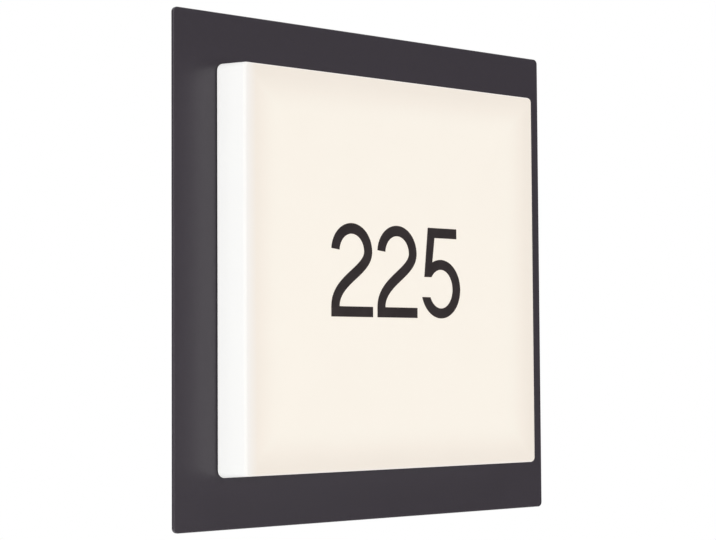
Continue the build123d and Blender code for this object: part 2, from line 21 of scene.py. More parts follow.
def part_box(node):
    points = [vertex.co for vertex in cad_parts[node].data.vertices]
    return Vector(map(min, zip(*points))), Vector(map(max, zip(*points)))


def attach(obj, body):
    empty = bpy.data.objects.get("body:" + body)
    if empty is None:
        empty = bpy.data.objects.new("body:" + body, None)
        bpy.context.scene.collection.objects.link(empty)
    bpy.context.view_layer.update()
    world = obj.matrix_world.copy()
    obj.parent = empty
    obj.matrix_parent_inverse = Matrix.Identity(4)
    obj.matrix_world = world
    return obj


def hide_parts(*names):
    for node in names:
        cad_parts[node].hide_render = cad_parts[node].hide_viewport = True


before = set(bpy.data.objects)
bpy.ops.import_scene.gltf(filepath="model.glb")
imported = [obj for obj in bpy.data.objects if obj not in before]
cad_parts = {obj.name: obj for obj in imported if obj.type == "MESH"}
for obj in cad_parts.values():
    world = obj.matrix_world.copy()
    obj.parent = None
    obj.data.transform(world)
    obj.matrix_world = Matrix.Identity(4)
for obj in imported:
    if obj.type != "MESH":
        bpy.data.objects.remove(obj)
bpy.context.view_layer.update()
MM = 0.001

# %% [markdown]
# ## The view
#
# A photograph fixes five things about its camera: where it stood, its heading, its tilt, its roll and its
# focal length. They were worked out by fitting the edges of the plate and of the box to those in the
# picture. A long lens stands far away, so the sign narrows only a little towards its far side.

# %% A helper that puts things into the scene, and the camera
CAMERA_PLACE = Vector((-0.7709, -0.8778, -0.0583))
CAMERA_HEADING = math.radians(41.010)
CAMERA_TILT = math.radians(3.033)
CAMERA_ROLL = math.radians(-0.344)
FOCAL_LENGTH_PIXELS = 1883.0
PICTURE_WIDTH_PIXELS = 716.0
SENSOR_WIDTH_MM = 36.0


def placed(name, data):
    """An object for a camera, a lamp or a mesh, put into the scene."""
    made = bpy.data.objects.new(name, data)
    bpy.context.scene.collection.objects.link(made)
    return made


def camera_turn(heading, tilt, roll):
    """The camera's own axes: heading turns +Y towards +X, tilt lifts the view, roll turns the picture."""
    level_right = Vector((math.cos(heading), -math.sin(heading), 0))
    level_forward = Vector((math.sin(heading), math.cos(heading), 0))
    up = Vector((0, 0, 1))
    forward = level_forward * math.cos(tilt) + up * math.sin(tilt)
    upright = up * math.cos(tilt) - level_forward * math.sin(tilt)
    right = level_right * math.cos(roll) + upright * math.sin(roll)
    top = upright * math.cos(roll) - level_right * math.sin(roll)
    return Matrix((right, top, -forward)).transposed()


camera_data = bpy.data.cameras.new("camera")
camera_data.sensor_width = SENSOR_WIDTH_MM
camera_data.lens = SENSOR_WIDTH_MM * FOCAL_LENGTH_PIXELS / PICTURE_WIDTH_PIXELS
camera = placed("camera", camera_data)
turn = camera_turn(CAMERA_HEADING, CAMERA_TILT, CAMERA_ROLL)
camera.matrix_world = Matrix.Translation(CAMERA_PLACE) @ turn.to_4x4()
bpy.context.scene.camera = camera
bpy.context.scene.view_settings.view_transform = "Standard"
print("lens", round(camera_data.lens, 1), "mm")

# %% [markdown]
# ## Light from all sides
#
# The world gives a soft level of light from every direction, as a white studio does. What the camera, a
# gloss reflection or a look through glass sees of it is plain white, so the background is white without
# any more light falling on the sign. The Light Path node tells these rays from those that carry light to
# a surface.

# %% The world
WORLD_LEVEL = 0.50


def show_white(nodes, links, lighting, white, share, surface):
    """Mixes a share of a white shader into one that lights, but only for rays that look at it."""
    path = nodes.new("ShaderNodeLightPath")
    looking = path.outputs["Is Camera Ray"]
    for ray in ("Is Glossy Ray", "Is Transmission Ray"):
        add = nodes.new("ShaderNodeMath")
        add.use_clamp = True
        links.new(looking, add.inputs[0])
        links.new(path.outputs[ray], add.inputs[1])
        looking = add.outputs[0]
    factor = nodes.new("ShaderNodeMath")
    factor.operation = "MULTIPLY"
    factor.inputs[1].default_value = share
    mix = nodes.new("ShaderNodeMixShader")
    links.new(looking, factor.inputs[0])
    links.new(factor.outputs[0], mix.inputs["Fac"])
    links.new(lighting.outputs[0], mix.inputs[1])
    links.new(white.outputs[0], mix.inputs[2])
    links.new(mix.outputs[0], surface)


def world_light(level):
    """Two backgrounds: a dim one that lights surfaces, and a white one for rays that look at it."""
    world = bpy.data.worlds.new("studio")
    bpy.context.scene.world = world
    world.use_nodes = True
    nodes, links = world.node_tree.nodes, world.node_tree.links
    lighting, white = nodes["Background"], nodes.new("ShaderNodeBackground")
    for background, strength in ((lighting, level), (white, 1.0)):
        background.inputs["Color"].default_value = (1, 1, 1, 1)
        background.inputs["Strength"].default_value = strength
    show_white(nodes, links, lighting, white, 1.0, nodes["World Output"].inputs["Surface"])


world_light(WORLD_LEVEL)

# %% [markdown]
# ## Soft lamps
#
# A large area lamp has soft shadow edges, like the cloth-covered boxes of a photo studio. The main one
# stands to the left of the sign, which is the brighter side in the picture. Others fill the front and the
# top, and a weak one behind keeps the wall side readable when the sign is turned round.


# %% Lamps
def softbox(name, place, watts, width=1.0, height=1.0, aim=(0, 0, 0)):
    """A rectangular area lamp at a place, turned so that it shines at a point, and never mirrored."""
    data = bpy.data.lights.new(name, "AREA")
    data.shape = "RECTANGLE"
    data.size, data.size_y = width, height
    data.energy = watts
    lamp = placed(name, data)
    lamp.rotation_euler = (Vector(aim) - Vector(place)).to_track_quat("-Z", "Y").to_euler()
    lamp.location = place
    lamp.visible_glossy = False
    lamp.visible_camera = False


softbox("left_lamp", (-1.5, -0.22, 0.10), watts=8.0, width=0.4, height=0.6, aim=(-0.1, -0.02, 0))
softbox("front_lamp", (0.55, -1.4, -0.05), watts=5.0, height=0.6)
softbox("top_lamp", (0.3, -0.7, 1.6), watts=6.0)
softbox("back_lamp", (0.6, 1.4, 0.7), watts=6.0)

# %% [markdown]
# ## Dark cards
#
# Satin paint mirrors the room faintly, and a white room would wash out a dark colour. A photographer
# stands a black card where the plate would show the white, which is opposite the camera: the camera's
# place mirrored in the plate. A smaller card does the same for the narrow left side of the plate. Only
# gloss reflections see the cards, so they take no light from the sign.

# %% The cards
CARD_DISTANCE = 1.3
CARD_BLACK = (0.01, 0.01, 0.01, 1)
SQUARE_CORNERS = ((-1, -1), (1, -1), (1, 1), (-1, 1))


def plain_surface(name, colour, roughness):
    """A material of one colour, for things that stand round the sign."""
    material = bpy.data.materials.new(name)
    material.use_nodes = True
    shader = material.node_tree.nodes["Principled BSDF"]
    shader.inputs["Base Color"].default_value = colour
    shader.inputs["Roughness"].default_value = roughness
    return material


def mesh_object(name, vertices, faces, material):
    """An object with a new mesh of these points and faces."""
    mesh = bpy.data.meshes.new(name)
    mesh.from_pydata(vertices, [], faces)
    mesh.materials.append(material)
    return placed(name, mesh)


def dark_card(name, line, side):
    """A square, its middle on a line out of the sign's origin, and its face turned to the sign."""
    out = Vector(line).normalized()
    across = out.cross(Vector((0, 0, 1))).normalized()
    upright = across.cross(out)
    middle = out * CARD_DISTANCE
    corners = [middle + (across * u + upright * v) * side / 2 for u, v in SQUARE_CORNERS]
    black = plain_surface(name, CARD_BLACK, roughness=1.0)
    card = mesh_object(name, corners, [(0, 1, 2, 3)], black)
    for ray in ("camera", "diffuse", "transmission", "shadow", "volume_scatter"):
        setattr(card, f"visible_{ray}", False)
    return card


mirrored_in_face = (-CAMERA_PLACE.x, CAMERA_PLACE.y, -CAMERA_PLACE.z)
mirrored_in_side = (CAMERA_PLACE.x, -CAMERA_PLACE.y, -CAMERA_PLACE.z)
dark_card("dark_card", mirrored_in_face, side=2.4)
dark_card("side_card", mirrored_in_side, side=1.6)

# %% [markdown]
# ## The floor
#
# A pale round floor lies well below the sign. It is out of sight in the main view and catches a soft
# shadow in the raised ones. Its outline is a circle: the angle runs round in even steps, and one face
# closes it. To rays that look at it the floor is mixed with plain white, which keeps it pale without any
# more light on the sign.

# %% A pale floor
FLOOR_RADIUS = 2.0
FLOOR_DROP = 0.55
FLOOR_STEPS = 96
FLOOR_COLOUR = (0.9, 0.9, 0.9, 1)
FLOOR_ROUGHNESS = 0.9
FLOOR_WHITE_SHARE = 0.6


def floor_disc(radius, height, steps, finish):
    """Rim point k is radius * (cos, sin) of k / steps of a turn, and one face spans the whole rim."""
    angle = np.linspace(0, 2 * np.pi, steps, endpoint=False)
    rim = np.stack([radius * np.cos(angle), radius * np.sin(angle), np.full(steps, height)], -1)
    return mesh_object("floor", rim.tolist(), [list(range(steps))], finish)


def floor_finish():
    """A matt pale surface, mixed with plain white for the rays that look at it."""
    finish = plain_surface("pale_floor", FLOOR_COLOUR, FLOOR_ROUGHNESS)
    nodes, links = finish.node_tree.nodes, finish.node_tree.links
    matt, white = nodes["Principled BSDF"], nodes.new("ShaderNodeEmission")
    surface = nodes["Material Output"].inputs["Surface"]
    show_white(nodes, links, matt, white, FLOOR_WHITE_SHARE, surface)
    return finish


floor = floor_disc(FLOOR_RADIUS, -FLOOR_DROP, FLOOR_STEPS, floor_finish())
print("floor", FLOOR_DROP, "m below the middle of the sign")

# %% [markdown]
# ## How a finish is built
#
# No real surface is one flat colour. Each finish here starts from the principled shader and adds fine
# noise to its colour, its roughness and its relief. The noise reads Object coordinates, which on every
# piece are the sign's own metres, so a grain of half a millimetre is half a millimetre everywhere, with
# no unwrapping.


# %% A small kit for finishes
NOISE_LOW, NOISE_HIGH = 0.3, 0.7


class Finish:
    """A principled material with methods that add grain. Sizes are in metres."""

    def __init__(self, name, roughness, metallic=0.0, specular=0.5):
        self.name = name
        self.material = bpy.data.materials.new(name)
        self.material.use_nodes = True
        self.nodes = self.material.node_tree.nodes
        self.links = self.material.node_tree.links
        self.shader = self.nodes["Principled BSDF"]
        self.shader.inputs["Roughness"].default_value = roughness
        self.shader.inputs["Metallic"].default_value = metallic
        self.shader.inputs["Specular IOR Level"].default_value = specular
        self.place = self.nodes.new("ShaderNodeTexCoord").outputs["Object"]
        self.relief = None

    def connect(self, value, socket):
        """Links a node's output, or sets a plain number or colour."""
        if isinstance(value, bpy.types.NodeSocket):
            self.links.new(value, socket)
        else:
            socket.default_value = value

    def noise(self, size, detail=2.0, stretch=(1, 1, 1)):
        """Cloudy noise of a size, drawn out along an axis by a stretch above 1, carried to 0 to 1."""
        mapping = self.nodes.new("ShaderNodeMapping")
        mapping.inputs["Scale"].default_value = [1 / s for s in stretch]
        self.links.new(self.place, mapping.inputs["Vector"])
        noise = self.nodes.new("ShaderNodeTexNoise")
        noise.inputs["Scale"].default_value = 1 / size
        noise.inputs["Detail"].default_value = detail
        self.links.new(mapping.outputs["Vector"], noise.inputs["Vector"])
        return self.spread(noise.outputs["Fac"], NOISE_LOW, NOISE_HIGH, 0, 1)

    def axes(self, place=None):
        """X, Y and Z of each point of the surface, in the sign's own metres or another place's."""
        split = self.nodes.new("ShaderNodeSeparateXYZ")
        self.links.new(place or self.place, split.inputs[0])
        return split.outputs["X"], split.outputs["Y"], split.outputs["Z"]

    def cells(self, size):
        """Distance to the nearest of scattered points, which gives pores or grains of about a size."""
        cells = self.nodes.new("ShaderNodeTexVoronoi")
        cells.inputs["Scale"].default_value = 1 / size
        self.links.new(self.place, cells.inputs["Vector"])
        return cells.outputs["Distance"]

    def spread(self, value, from_low, from_high, to_low, to_high, smooth=False):
        """Carries a value from one range to another and holds it there."""
        carry = self.nodes.new("ShaderNodeMapRange")
        carry.interpolation_type = "SMOOTHSTEP" if smooth else "LINEAR"
        self.connect(value, carry.inputs["Value"])
        bounds = {"From Min": from_low, "From Max": from_high, "To Min": to_low, "To Max": to_high}
        for socket, bound in bounds.items():
            carry.inputs[socket].default_value = bound
        return carry.outputs["Result"]

    def math(self, operation, first, second=0.0):
        """One arithmetic step on two values."""
        step = self.nodes.new("ShaderNodeMath")
        step.operation = operation
        self.connect(first, step.inputs[0])
        self.connect(second, step.inputs[1])
        return step.outputs[0]

    def blend(self, factor, low, high):
        """A colour that goes from one to another as the factor goes from 0 to 1."""
        mix = self.nodes.new("ShaderNodeMix")
        mix.data_type = "RGBA"
        self.connect(factor, mix.inputs["Factor"])
        colour_sockets = [s for s in mix.inputs if s.type == "RGBA"]
        for value, socket in zip((low, high), colour_sockets):
            self.connect(value if isinstance(value, bpy.types.NodeSocket) else (*value, 1), socket)
        return [s for s in mix.outputs if s.type == "RGBA"][0]

    def colour(self, factor, low, high):
        """The surface's own colour, between two shades of it."""
        self.links.new(self.blend(factor, low, high), self.shader.inputs["Base Color"])

    def gloss(self, factor, low, high):
        """Roughness between two values."""
        self.links.new(self.spread(factor, 0, 1, low, high), self.shader.inputs["Roughness"])

    def glow(self, colour):
        """Light of a colour that the surface gives off by itself."""
        self.links.new(colour, self.shader.inputs["Emission Color"])
        self.shader.inputs["Emission Strength"].default_value = 1.0

    def bump(self, height, depth):
        """Relief of a depth in metres. A second call lays its relief over the first."""
        bump = self.nodes.new("ShaderNodeBump")
        bump.inputs["Strength"].default_value = 1.0
        bump.inputs["Distance"].default_value = depth
        self.links.new(height, bump.inputs["Height"])
        if self.relief:
            self.links.new(self.relief, bump.inputs["Normal"])
        self.relief = bump.outputs["Normal"]
        self.links.new(self.relief, self.shader.inputs["Normal"])


def shades(colour, amount):
    """A darker and a lighter shade of a colour, each away from it by a share."""
    return [tuple(c * (1 + side * amount) for c in colour) for side in (-1, 1)]


def dress(finish, *names):
    """Gives CAD nodes a finish by putting it into their material slots."""
    for name in names:
        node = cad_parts[name]
        if not node.data.materials:
            node.data.materials.append(finish.material)
        for index in range(len(node.data.materials)):
            node.data.materials[index] = finish.material


# %% [markdown]
# ## The powder-coated plate
#
# Powder paint melts into a satin film whose surface keeps a fine leathery texture. Two layers of noise
# make it: a grain of a third of a millimetre and a wider orange peel. The paint is a warm near-black, and
# its gloss varies slightly with the peel.


# %% Powder coat
def powder_coat():
    finish = Finish("powder_coat", roughness=0.42, specular=0.5)
    grain = finish.noise(0.35 * MM, detail=3)
    peel = finish.noise(2.2 * MM)
    finish.colour(grain, *shades((0.051, 0.0435, 0.054), 0.10))
    finish.gloss(peel, 0.30, 0.37)
    finish.bump(grain, 0.010 * MM)
    finish.bump(peel, 0.012 * MM)
    return finish


dress(powder_coat(), "back_plate")

# %% [markdown]
# ## Rubber and foam
#
# Behind the plate lies a sheet of closed-cell foam that seals it to the wall. Cut foam shows its cells as
# small pits, which a Voronoi pattern gives; the colour is painted darker where that relief is low, as
# painted shade in the pits. The grommet and the seal under the box are moulded rubber: nearly black,
# dull, with a faint cloudy bloom.


# %% Foam and rubber
def foam():
    finish = Finish("gasket_foam", roughness=0.92, specular=0.2)
    pits = finish.spread(finish.cells(0.7 * MM), 0.1, 0.6, 0, 1)
    clouds = finish.noise(25 * MM, detail=4)
    # Painted shade: the colour darkens where the pits' relief is low, mixed with random clouds of tone.
    shade = finish.math("ADD", finish.math("MULTIPLY", pits, 0.75), finish.math("MULTIPLY", clouds, 0.25))
    finish.colour(shade, (0.055, 0.055, 0.058), (0.026, 0.026, 0.028))
    finish.bump(finish.math("SUBTRACT", 1.0, pits), 0.12 * MM)
    return finish


def rubber(name, colour):
    finish = Finish(name, roughness=0.7, specular=0.35)
    bloom = finish.noise(5 * MM, detail=4)
    skin = finish.noise(0.25 * MM)
    finish.colour(bloom, *shades(colour, 0.25))
    finish.gloss(bloom, 0.62, 0.8)
    finish.bump(skin, 0.008 * MM)
    return finish


grommet_rubber = rubber("grommet_rubber", (0.024, 0.024, 0.025))
dress(foam(), "wall_gasket")
dress(rubber("seal_rubber", (0.038, 0.037, 0.038)), "diffuser_seal")

# %% [markdown]
# ## From rings to a mesh
#
# Many parts are rings joined one after another: a screw, a tube, a moulded box. A function gives the
# rings as one array, and this helper joins each ring to the next with four-sided faces and closes the two
# ends. It then measures the volume: a negative one means that the faces point inwards, so their order is
# reversed. A shape that goes round like a tyre has no ends: its last ring lies on its first, and merging
# the points joins them.

# %% Joining rings
SHARP_ANGLE = math.radians(32)
MERGE_DISTANCE = 1e-7


def ring_faces(rows, columns, ends):
    """Quads between neighbouring rings, each ring closed on itself, and a face on each end ring."""
    index = np.arange(rows * columns).reshape(rows, columns)
    here, there = index[:-1], index[1:]
    quads = np.stack([here, np.roll(here, -1, 1), np.roll(there, -1, 1), there], -1)
    caps = [index[0][::-1].tolist(), index[-1].tolist()] if ends else []
    return quads.reshape(-1, 4).tolist() + caps


def volume(vertices, faces):
    """Sum of the signed tetrahedra from the origin to each face, taken as a fan of triangles."""
    total = 0.0
    for size in {len(face) for face in faces}:
        corner = vertices[np.array([face for face in faces if len(face) == size])]
        base, fan = corner[:, :1], corner[:, 1:]
        cross = np.cross(fan[:, :-1], fan[:, 1:])
        total += np.einsum("fij,fij->", np.broadcast_to(base, cross.shape), cross)
    return total / 6


def solid_from_rings(stacks, ends):
    """One mesh from a list of ring stacks, each an array of rings by points by 3."""
    vertices, faces = [], []
    for rings in stacks:
        points = rings.reshape(-1, 3)
        stack_faces = ring_faces(*rings.shape[:2], ends)
        if volume(points, stack_faces) < 0:
            stack_faces = [face[::-1] for face in stack_faces]
        start = sum(len(v) for v in vertices)
        faces += [[start + corner for corner in face] for face in stack_faces]
        vertices.append(points)
    return np.concatenate(vertices), faces


def piece(name, stacks, body, finish, replaced=(), ends=True):
    """Makes the mesh in its place, merges poles, smooths all but sharp edges and ties it to its body."""
    vertices, faces = solid_from_rings(stacks, ends)
    made = mesh_object(name, vertices.tolist(), faces, finish.material)
    mesh, work = made.data, bmesh.new()
    work.from_mesh(mesh)
    bmesh.ops.remove_doubles(work, verts=work.verts, dist=MERGE_DISTANCE)
    work.to_mesh(mesh)
    work.free()
    mesh.polygons.foreach_set("use_smooth", np.ones(len(mesh.polygons), bool))
    mesh.set_sharp_from_angle(angle=SHARP_ANGLE)
    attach(made, body)
    if replaced:
        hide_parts(*replaced)
    print(name, "faces", len(mesh.polygons))
    return made


# %% [markdown]
# ## The opal box
#
# The light box is one moulding of opal acrylic: a square with rounded corners, walls that lean in by four
# degrees so that it leaves its mould, and a soft rounding round the front. Its section is a line that
# runs from the middle of the front, over the rounding, down the wall, round the rim and back up the
# inside. Every point of that line becomes a rounded square. The squares of the outside share the centres
# of their corner arcs, and so do those of the inside, so a square of half-side h has corners of radius h
# minus the distance of its centres.

# %% The section of the box
diffuser_low, diffuser_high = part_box("diffuser")
BOX_HALF = diffuser_high.x
BOX_FRONT = -diffuser_low.y
BOX_RIM = -diffuser_high.y
BOX_WALL = 3.0 * MM
BOX_CORNER = 4.5 * MM
BOX_INNER_CORNER = 2.5 * MM
BOX_ROUNDING = 2.2 * MM
BOX_DRAFT = math.radians(4.0)
RIM_ROUNDING = 0.4 * MM
RIM_MIDDLE_CUT = 0.3 * RIM_ROUNDING
SHARPEST_CORNER = 0.998
ROUNDING_STEPS = 14
CORNER_STEPS = 16
outer_centre = BOX_HALF - BOX_CORNER
inner_centre = BOX_HALF - BOX_WALL - BOX_INNER_CORNER


def wall_at(depth, inset=0.0):
    """Half-side of the leaning wall at a depth: the rim's, less the tangent of the draft for each metre."""
    return BOX_HALF - inset - math.tan(BOX_DRAFT) * (depth - BOX_RIM)


def box_section():
    """(half-side, depth, centre of the corner arcs): front's middle, rounding, wall, rim, inside."""
    round_depth = BOX_FRONT - BOX_ROUNDING
    round_half = wall_at(round_depth) - BOX_ROUNDING / math.cos(BOX_DRAFT)
    angle = np.linspace(0, math.pi / 2 - BOX_DRAFT, ROUNDING_STEPS)
    rounding = zip(round_half + BOX_ROUNDING * np.sin(angle), round_depth + BOX_ROUNDING * np.cos(angle))
    inner_front = BOX_FRONT - BOX_WALL
    outside = [
        (0.0, BOX_FRONT),
        *rounding,
        (wall_at(BOX_RIM + RIM_ROUNDING), BOX_RIM + RIM_ROUNDING),
        (wall_at(BOX_RIM) - RIM_MIDDLE_CUT, BOX_RIM + RIM_MIDDLE_CUT),
        (wall_at(BOX_RIM) - RIM_ROUNDING, BOX_RIM),
    ]
    inside = [
        (wall_at(BOX_RIM, BOX_WALL) + RIM_ROUNDING, BOX_RIM),
        (wall_at(BOX_RIM, BOX_WALL), BOX_RIM + RIM_ROUNDING),
        (wall_at(inner_front, BOX_WALL), inner_front),
        (0.0, inner_front),
    ]
    section = [(*place, outer_centre) for place in outside]
    return np.array(section + [(*place, inner_centre) for place in inside])


def rounded_squares(section, steps):
    """Ring (h, depth, c): corner arcs of radius h - c about (c, c), nearly sharp where h is below c."""
    half, depth, centre = section[:, :1], section[:, 1:2], section[:, 2:]
    angle = np.linspace(0, np.pi / 2, steps)
    quarter = np.repeat(np.arange(4), steps)
    turn = np.tile(angle, 4) + quarter * np.pi / 2
    side_x = np.array([1, -1, -1, 1])[quarter]
    side_z = np.array([1, 1, -1, -1])[quarter]
    arc_centre = np.minimum(centre, half * SHARPEST_CORNER)
    radius = half - arc_centre
    x = arc_centre * side_x + radius * np.cos(turn)
    z = arc_centre * side_z + radius * np.sin(turn)
    return np.stack([x, np.broadcast_to(-depth, x.shape), z], -1)


print("box half", round(BOX_HALF / MM, 2), "front", round(BOX_FRONT / MM, 2), "rim", round(BOX_RIM / MM, 2))

# %% [markdown]
# ## Ribs inside the box
#
# A ridge inside each wall hooks behind a spring clip and holds the box on. Its front slope is parallel to
# the leg of the spring. The ridge is a short bar: one outline of five points, drawn at both of its ends,
# and turned to the other three walls.

# %% Catch ribs
RIB_LENGTH = 18.0 * MM
RIB_TOP = 0.8 * MM
RIB_PEAK_FROM_RIM = 5.8 * MM
RIB_HEIGHT = 1.5 * MM
RIB_BURIED = 0.5 * MM


def catch_rib(turns):
    """Rings are the two ends of the rib's outline, turned by quarter turns about the sign's own axis."""
    peak_depth = BOX_RIM + RIB_PEAK_FROM_RIM
    wall = wall_at(peak_depth, BOX_WALL)
    rear_depth = peak_depth - RIB_TOP - RIB_HEIGHT
    outline = np.array(
        [
            (wall + RIB_BURIED, peak_depth + RIB_HEIGHT + RIB_BURIED),
            (wall - RIB_HEIGHT, peak_depth),
            (wall - RIB_HEIGHT, peak_depth - RIB_TOP),
            (wall, rear_depth),
            (wall + RIB_BURIED, rear_depth),
        ]
    )
    along = np.array([-RIB_LENGTH / 2, RIB_LENGTH / 2])[:, None]
    reach, depth = outline[:, 0], outline[:, 1]
    points = np.stack(np.broadcast_arrays(along, -depth, -reach), -1)
    angle = turns * np.pi / 2
    x = points[..., 0] * np.cos(angle) + points[..., 2] * np.sin(angle)
    z = points[..., 2] * np.cos(angle) - points[..., 0] * np.sin(angle)
    return np.stack([x, points[..., 1], z], -1)


# %% [markdown]
# ## Lit opal acrylic
#
# Opal acrylic scatters the light of the panel behind it. The face glows a warm cream that gets deeper
# over the last two and a half centimetres towards its edges. A narrow band along the left edge of the
# face is painted paler and more neutral: painted light, as from the lit wall beside it. The side walls
# glow a neutral white that is partly the box's own glow and partly painted light from the left lamp,
# with more painted light at their foot to make up for the shade of the dark plate. The glow is
# emission: a mask from the depth tells the face from the walls, and the distance from the edges of the
# face grades it.

# %% Opal finish
FACE_GLOW = (0.474, 0.413, 0.328)
EDGE_GLOW = (0.402, 0.330, 0.250)
# Painted light: a paler, more neutral band along the left edge of the face.
LEFT_EDGE_PAINTED_LIGHT = (0.432, 0.412, 0.392)
# The walls' glow is partly the box's own and partly painted light from the left lamp; the foot gets more
# painted light to make up for the plate's shade.
SIDE_GLOW_AND_PAINTED_LIGHT = (0.465, 0.465, 0.455)
FOOT_GLOW_AND_PAINTED_LIGHT = (0.53, 0.53, 0.52)
FADE_WIDTH = 26.0 * MM
LEFT_PAINTED_LIGHT_WIDTH = 8.0 * MM
MASK_WIDTH = 0.1 * MM


def opal_acrylic():
    finish = Finish("opal_acrylic", roughness=0.38, specular=0.3)
    haze = finish.noise(30 * MM, detail=3)
    skin = finish.noise(0.5 * MM)
    finish.colour(haze, (0.545, 0.545, 0.54), (0.555, 0.555, 0.55))
    finish.gloss(skin, 0.34, 0.42)
    finish.bump(skin, 0.002 * MM)
    x, y, z = finish.axes()
    farthest = finish.math("MAXIMUM", finish.math("ABSOLUTE", x), finish.math("ABSOLUTE", z))
    from_edge = finish.math("SUBTRACT", BOX_HALF, farthest)
    from_left = finish.math("ADD", x, BOX_HALF)
    depth = finish.math("MULTIPLY", y, -1.0)
    inwards = finish.spread(from_edge, BOX_ROUNDING, BOX_ROUNDING + FADE_WIDTH, 0, 1, smooth=True)
    # Painted light along the left edge only, fading out over its width.
    past_left_painted_light = finish.spread(from_left, BOX_ROUNDING, BOX_ROUNDING + LEFT_PAINTED_LIGHT_WIDTH, 0, 1)
    on_face = finish.spread(depth, BOX_FRONT - BOX_ROUNDING, BOX_FRONT - MASK_WIDTH, 0, 1)
    # Painted light at the walls' foot, fading out towards the front.
    past_painted_foot_light = finish.spread(depth, BOX_RIM, BOX_FRONT, 0, 1)
    face = finish.blend(past_left_painted_light, LEFT_EDGE_PAINTED_LIGHT, finish.blend(inwards, EDGE_GLOW, FACE_GLOW))
    finish.glow(finish.blend(on_face, finish.blend(past_painted_foot_light, FOOT_GLOW_AND_PAINTED_LIGHT, SIDE_GLOW_AND_PAINTED_LIGHT), face))
    return finish


opal = opal_acrylic()
box_rings = rounded_squares(box_section(), CORNER_STEPS)
piece(
    "light_box_shell",
    [box_rings] + [catch_rib(turns) for turns in range(4)],
    "light_box",
    opal,
    replaced=["diffuser"],
)

# %% [markdown]
# ## The house number
#
# The figures are cut from dark film, a seventh of a millimetre thick. Each is one stroke of steady width,
# so its outline has two edges that run side by side: A on one side of the stroke and B on the other. A
# point of A and the point of B beside it span the stroke. Curves are parts of ellipses, and the long back
# of the two is a cubic curve. At a sharp corner one edge stands still while the other goes round.

# %% Edges of the figures
FIGURE_HEIGHT = 56.0 * MM
STROKE = 6.4 * MM
BAR = 6.2 * MM
CURVE_STEPS = 28


def ellipse_arc(centre, radii, from_degrees, to_degrees, steps=CURVE_STEPS):
    """Point t is centre + (a cos, b sin) of an angle that goes evenly from the first to the last."""
    angle = np.radians(np.linspace(from_degrees, to_degrees, steps))
    return np.stack([centre[0] + radii[0] * np.cos(angle), centre[1] + radii[1] * np.sin(angle)], -1)


def cubic_curve(points, steps=CURVE_STEPS):
    """Four points with the weights (1-t)^3, 3t(1-t)^2, 3t^2(1-t) and t^3."""
    t = np.linspace(0, 1, steps)[:, None]
    weights = [(1 - t) ** 3, 3 * t * (1 - t) ** 2, 3 * t**2 * (1 - t), t**3]
    return sum(weight * np.array(point) for weight, point in zip(weights, points))


def ways(line):
    """The way a line goes at each of its points, as steps of length 1."""
    way = np.gradient(line, axis=0)
    return way / np.linalg.norm(way, axis=1, keepdims=True)


def beside(line, distance):
    """Each point of a line moved sideways, to the left of the way the line goes, by a distance."""
    way = ways(line)
    return line + distance * np.stack([-way[:, 1], way[:, 0]], -1)


def figure_two():
    """Bowl over the top, back down to the left as a cubic curve, then the bar along the base line."""
    half = STROKE / 2
    width, bowl_height = 33.0 * MM, 13.6 * MM
    bowl_margin, foot_margin = 0.4 * MM, 0.2 * MM
    bowl_start_degrees = 176
    back_upper, back_lower = 27.5 * MM, 22.0 * MM
    radii = (width / 2 - half - bowl_margin, bowl_height)
    centre = (width / 2, FIGURE_HEIGHT - half - bowl_height)
    bowl = ellipse_arc(centre, radii, bowl_start_degrees, 0)
    right = bowl[-1]
    foot = (half + foot_margin, BAR)
    back = cubic_curve([right, (right[0], back_upper), (foot[0], back_lower), foot])
    line = np.concatenate([bowl, back[1:]])
    edge_a, edge_b = beside(line, half), beside(line, -half)
    edge_a[-1], edge_b[-1] = (foot[0] + half, BAR), (foot[0] - half, BAR)
    turn_a = [(foot[0] + half, BAR), (width, BAR)]
    turn_b = [(foot[0] - half, 0), (width, 0)]
    return np.concatenate([edge_a, turn_a]), np.concatenate([edge_b, turn_b])


def figure_five():
    """Bar at the top, slanting stem, then a bowl from the stem's foot round to the lower left."""
    outer, inner = (16.6 * MM, 18.2 * MM), (10.0 * MM, 12.0 * MM)
    centre = outer
    top, under = FIGURE_HEIGHT, FIGURE_HEIGHT - BAR
    bar_end, cut = 30.2 * MM, 13.0 * MM
    stem_edge, foot_edge = 9.4 * MM, 8.6 * MM
    stem_head, bar_start, stem_foot = 11.4 * MM, 5.8 * MM, 2.6 * MM
    start_a = math.degrees(math.acos((stem_edge - centre[0]) / outer[0]))
    start_b = math.degrees(math.acos((foot_edge - centre[0]) / inner[0]))
    end_a = -180 - math.degrees(math.asin((cut - centre[1]) / outer[1]))
    end_b = -180 - math.degrees(math.asin((cut - centre[1]) / inner[1]))
    bowl_a = ellipse_arc(centre, outer, start_a, end_a, 2 * CURVE_STEPS)
    bowl_b = ellipse_arc(centre, inner, start_b, end_b, 2 * CURVE_STEPS)
    head_a = [(bar_end, under), (stem_head, under), bowl_a[0]]
    head_b = [(bar_end, top), (bar_start, top), (stem_foot, bowl_b[0][1])]
    return np.concatenate([head_a, bowl_a]), np.concatenate([head_b, bowl_b])


# %% [markdown]
# ## Laying the film on the face
#
# A ring of four points, back and front at each edge, is carried along the stroke. That makes a closed
# sheet with square cut edges. The film is matt and very slightly uneven, like vinyl that was smoothed on
# by hand.

# %% The three figures
FILM = 0.15 * MM
FIGURE_GAP = 3.4 * MM
FIGURE_BASE = -26.8 * MM
NUMBER_SHIFT = -1.5 * MM


